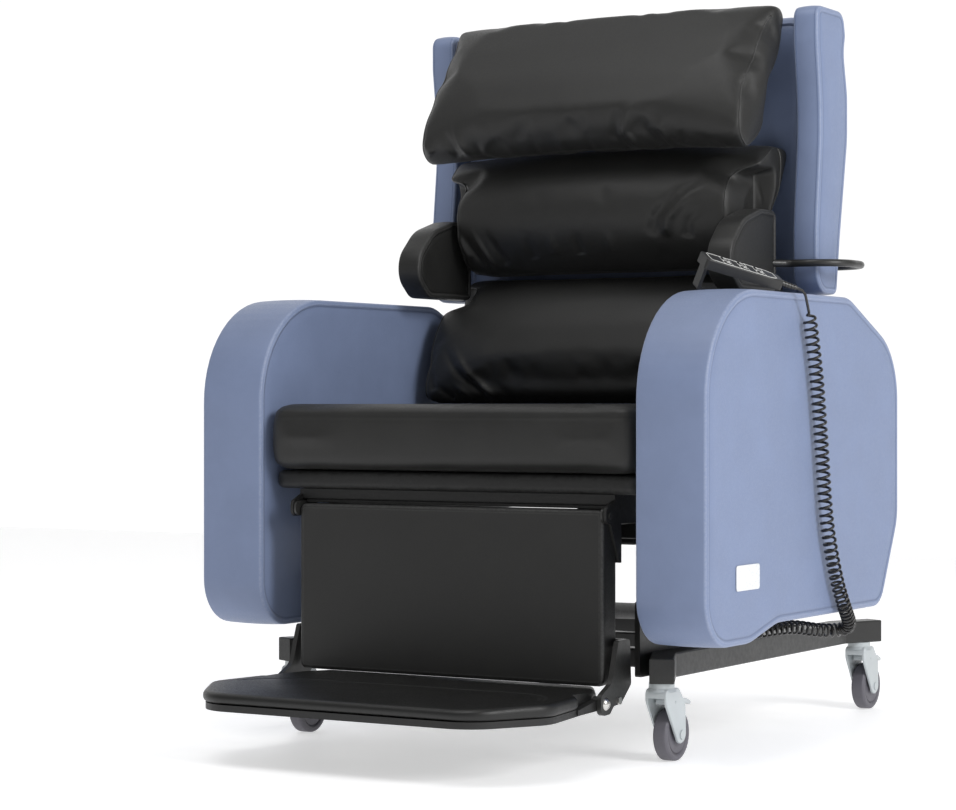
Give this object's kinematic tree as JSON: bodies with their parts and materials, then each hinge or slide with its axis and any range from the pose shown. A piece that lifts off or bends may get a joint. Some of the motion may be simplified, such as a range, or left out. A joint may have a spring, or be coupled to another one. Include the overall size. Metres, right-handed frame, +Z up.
{
  "type": "patient recliner chair",
  "caption": "Wide tilting care recliner with padded arms, waterfall back, head wings, calf pad, footplate, handset on a curly cord and braked castors.",
  "frame": {"origin": "on the floor, under the middle of the chair's box", "axes": "+Z up, the chair faces -Y, +X is its left-hand side seen from the sitter and the viewer's right from the front"},
  "size_m": [0.9372, 1.2595, 1.21],
  "materials": {
    "black_steel": "satin black powder coat",
    "cap_plastic": "matt",
    "castor_grey": "satin",
    "castor_tyre": "smooth",
    "blue_vinyl": "fine grained vinyl",
    "black_vinyl": "soft vinyl, low sheen",
    "pan_vinyl": "grained vinyl",
    "plate_white": "satin printed plate, blank",
    "drive_plastic": "matt",
    "rod_steel": "ground",
    "bolt_steel": "polished",
    "handset_plastic": "fine texture",
    "key_plastic": "satin",
    "cord_rubber": "semi gloss",
    "board_black": "matt"
  },
  "bodies": {
    "base": {"base_rail_right": "black_steel", "base_rail_left": "black_steel", "rail_end_caps": "cap_plastic", "base_cross_tubes": "black_steel", "tilt_posts": "black_steel"},
    "castor_front_left": {"castor_fork_front_left": "castor_grey"},
    "wheel_front_left": {"castor_wheel_front_left": "castor_tyre"},
    "pedal_front_left": {"castor_brake_front_left": "castor_grey"},
    "castor_front_right": {"castor_fork_front_right": "castor_grey"},
    "wheel_front_right": {"castor_wheel_front_right": "castor_tyre"},
    "pedal_front_right": {"castor_brake_front_right": "castor_grey"},
    "castor_rear_left": {"castor_fork_rear_left": "castor_grey"},
    "wheel_rear_left": {"castor_wheel_rear_left": "castor_tyre"},
    "pedal_rear_left": {"castor_brake_rear_left": "castor_grey"},
    "castor_rear_right": {"castor_fork_rear_right": "castor_grey"},
    "wheel_rear_right": {"castor_wheel_rear_right": "castor_tyre"},
    "pedal_rear_right": {"castor_brake_rear_right": "castor_grey"},
    "seat": {"seat_rails": "black_steel", "seat_cross_tubes": "black_steel", "seat_pan": "pan_vinyl", "seat_front_bar": "pan_vinyl", "seat_cushion": "black_vinyl", "arm_panel_right": "blue_vinyl", "arm_panel_left": "blue_vinyl", "maker_plate": "plate_white", "control_box": "drive_plastic", "handset_body": "handset_plastic", "handset_relief": "cord_rubber", "cord_leads": "cord_rubber", "cord_coil": "cord_rubber"},
    "button_1": {"handset_button_1": "key_plastic"},
    "button_2": {"handset_button_2": "key_plastic"},
    "button_3": {"handset_button_3": "key_plastic"},
    "button_4": {"handset_button_4": "key_plastic"},
    "button_5": {"handset_button_5": "key_plastic"},
    "button_6": {"handset_button_6": "key_plastic"},
    "backrest": {"back_shell": "blue_vinyl", "back_frame": "black_steel", "push_bar": "black_steel", "wing_right": "blue_vinyl", "wing_left": "blue_vinyl", "cushion_head": "black_vinyl", "cushion_middle": "black_vinyl", "cushion_lumbar": "black_vinyl"},
    "lateral_right": {"lateral_pad_right": "black_vinyl", "lateral_hoop_right": "black_steel"},
    "lateral_left": {"lateral_pad_left": "black_vinyl", "lateral_hoop_left": "black_steel"},
    "legrest": {"legrest_pad": "black_vinyl", "legrest_frame": "black_steel", "footplate_brackets": "black_steel", "footplate_bolts": "bolt_steel"},
    "footplate": {"footplate_board": "board_black", "footplate_pad": "pan_vinyl"},
    "tilt_drive": {"tilt_drive_housing": "drive_plastic"},
    "tilt_rod": {"tilt_drive_rod": "rod_steel"},
    "back_drive": {"back_drive_housing": "drive_plastic"},
    "back_rod": {"back_drive_rod": "rod_steel"},
    "leg_rod": {"leg_drive_rod": "rod_steel"},
    "leg_drive": {"leg_drive_housing": "drive_plastic"}
  },
  "joints": [
    {"name": "castor_swivel_front_left", "type": "hinge", "parent": "base", "child": "castor_front_left", "pos_m": [-0.334, -0.241, 0.112], "axis": [0, 0, 1], "continuous": true},
    {"name": "wheel_spin_front_left", "type": "hinge", "parent": "castor_front_left", "child": "wheel_front_left", "pos_m": [-0.334, -0.21, 0.04], "axis": [1, 0, 0], "continuous": true},
    {"name": "brake_pedal_front_left", "type": "hinge", "parent": "castor_front_left", "child": "pedal_front_left", "pos_m": [-0.334, -0.231, 0.091], "axis": [-1, 0, 0], "range_deg": [0, 8]},
    {"name": "castor_swivel_front_right", "type": "hinge", "parent": "base", "child": "castor_front_right", "pos_m": [0.334, -0.241, 0.112], "axis": [0, 0, 1], "continuous": true},
    {"name": "wheel_spin_front_right", "type": "hinge", "parent": "castor_front_right", "child": "wheel_front_right", "pos_m": [0.334, -0.21, 0.04], "axis": [1, 0, 0], "continuous": true},
    {"name": "brake_pedal_front_right", "type": "hinge", "parent": "castor_front_right", "child": "pedal_front_right", "pos_m": [0.334, -0.231, 0.091], "axis": [-1, 0, 0], "range_deg": [0, 8]},
    {"name": "castor_swivel_rear_left", "type": "hinge", "parent": "base", "child": "castor_rear_left", "pos_m": [-0.321, 0.544, 0.112], "axis": [0, 0, 1], "continuous": true},
    {"name": "wheel_spin_rear_left", "type": "hinge", "parent": "castor_rear_left", "child": "wheel_rear_left", "pos_m": [-0.321, 0.575, 0.04], "axis": [1, 0, 0], "continuous": true},
    {"name": "brake_pedal_rear_left", "type": "hinge", "parent": "castor_rear_left", "child": "pedal_rear_left", "pos_m": [-0.321, 0.554, 0.091], "axis": [-1, 0, 0], "range_deg": [0, 8]},
    {"name": "castor_swivel_rear_right", "type": "hinge", "parent": "base", "child": "castor_rear_right", "pos_m": [0.321, 0.544, 0.112], "axis": [0, 0, 1], "continuous": true},
    {"name": "wheel_spin_rear_right", "type": "hinge", "parent": "castor_rear_right", "child": "wheel_rear_right", "pos_m": [0.321, 0.575, 0.04], "axis": [1, 0, 0], "continuous": true},
    {"name": "brake_pedal_rear_right", "type": "hinge", "parent": "castor_rear_right", "child": "pedal_rear_right", "pos_m": [0.321, 0.554, 0.091], "axis": [-1, 0, 0], "range_deg": [0, 8]},
    {"name": "tilt_in_space", "type": "hinge", "parent": "base", "child": "seat", "pos_m": [0, 0.01, 0.285], "axis": [-1, 0, 0], "range_deg": [0, 25]},
    {"name": "press_button_1", "type": "slide", "parent": "seat", "child": "button_1", "axis": [-0.4214, 0.0553, -0.9052], "range_m": [0, 0.0006], "stiffness_N_per_m": 800, "springref_m": -0.0003},
    {"name": "press_button_2", "type": "slide", "parent": "seat", "child": "button_2", "axis": [-0.4214, 0.0553, -0.9052], "range_m": [0, 0.0006], "stiffness_N_per_m": 800, "springref_m": -0.0003},
    {"name": "press_button_3", "type": "slide", "parent": "seat", "child": "button_3", "axis": [-0.4214, 0.0553, -0.9052], "range_m": [0, 0.0006], "stiffness_N_per_m": 800, "springref_m": -0.0003},
    {"name": "press_button_4", "type": "slide", "parent": "seat", "child": "button_4", "axis": [-0.4214, 0.0553, -0.9052], "range_m": [0, 0.0006], "stiffness_N_per_m": 800, "springref_m": -0.0003},
    {"name": "press_button_5", "type": "slide", "parent": "seat", "child": "button_5", "axis": [-0.4214, 0.0553, -0.9052], "range_m": [0, 0.0006], "stiffness_N_per_m": 800, "springref_m": -0.0003},
    {"name": "press_button_6", "type": "slide", "parent": "seat", "child": "button_6", "axis": [-0.4214, 0.0553, -0.9052], "range_m": [0, 0.0006], "stiffness_N_per_m": 800, "springref_m": -0.0003},
    {"name": "back_recline", "type": "hinge", "parent": "seat", "child": "backrest", "pos_m": [0, 0.275, 0.455], "axis": [-1, 0, 0], "range_deg": [0, 40]},
    {"name": "lateral_height_right", "type": "slide", "parent": "backrest", "child": "lateral_right", "axis": [0, 0, 1], "range_m": [0, 0.06]},
    {"name": "lateral_height_left", "type": "slide", "parent": "backrest", "child": "lateral_left", "axis": [0, 0, 1], "range_m": [0, 0.06]},
    {"name": "legrest_raise", "type": "hinge", "parent": "seat", "child": "legrest", "pos_m": [0, -0.315, 0.372], "axis": [-1, 0, 0], "range_deg": [0, 76]},
    {"name": "footplate_fold", "type": "hinge", "parent": "legrest", "child": "footplate", "pos_m": [0, -0.34, 0.095], "axis": [-1, 0, 0], "range_deg": [0, 85]},
    {"name": "tilt_drive_swing", "type": "hinge", "parent": "base", "child": "tilt_drive", "pos_m": [0, 0.39, 0.17], "axis": [-1, 0, 0], "range_deg": [-0.87, 0]},
    {"name": "tilt_drive_stroke", "type": "slide", "parent": "tilt_drive", "child": "tilt_rod", "axis": [0, -0.9965, 0.083], "range_m": [0, 0.03824]},
    {"name": "back_drive_swing", "type": "hinge", "parent": "seat", "child": "back_drive", "pos_m": [0.095, 0.03, 0.376], "axis": [-1, 0, 0], "range_deg": [-3.15, 0]},
    {"name": "back_drive_stroke", "type": "slide", "parent": "back_drive", "child": "back_rod", "axis": [0, 0.9997, -0.024], "range_m": [-0.05847, 0]},
    {"name": "leg_drive_swing", "type": "hinge", "parent": "legrest", "child": "leg_rod", "pos_m": [-0.095, -0.25, 0.335], "axis": [-1, 0, 0], "range_deg": [-89.12, 0]},
    {"name": "leg_drive_stroke", "type": "slide", "parent": "leg_rod", "child": "leg_drive", "axis": [0, 0.9701, -0.2425], "range_m": [0, 0.07185]}
  ],
  "couplings": [
    {"joint": "tilt_drive_swing", "follows": "tilt_in_space", "ratio": -0.03319},
    {"joint": "tilt_drive_stroke", "follows": "tilt_in_space", "m_per_rad": 0.085924},
    {"joint": "back_drive_swing", "follows": "back_recline", "ratio": -0.07497},
    {"joint": "back_drive_stroke", "follows": "back_recline", "m_per_rad": -0.08211},
    {"joint": "leg_drive_swing", "follows": "legrest_raise", "ratio": -1.1496},
    {"joint": "leg_drive_stroke", "follows": "legrest_raise", "m_per_rad": 0.053101}
  ]
}
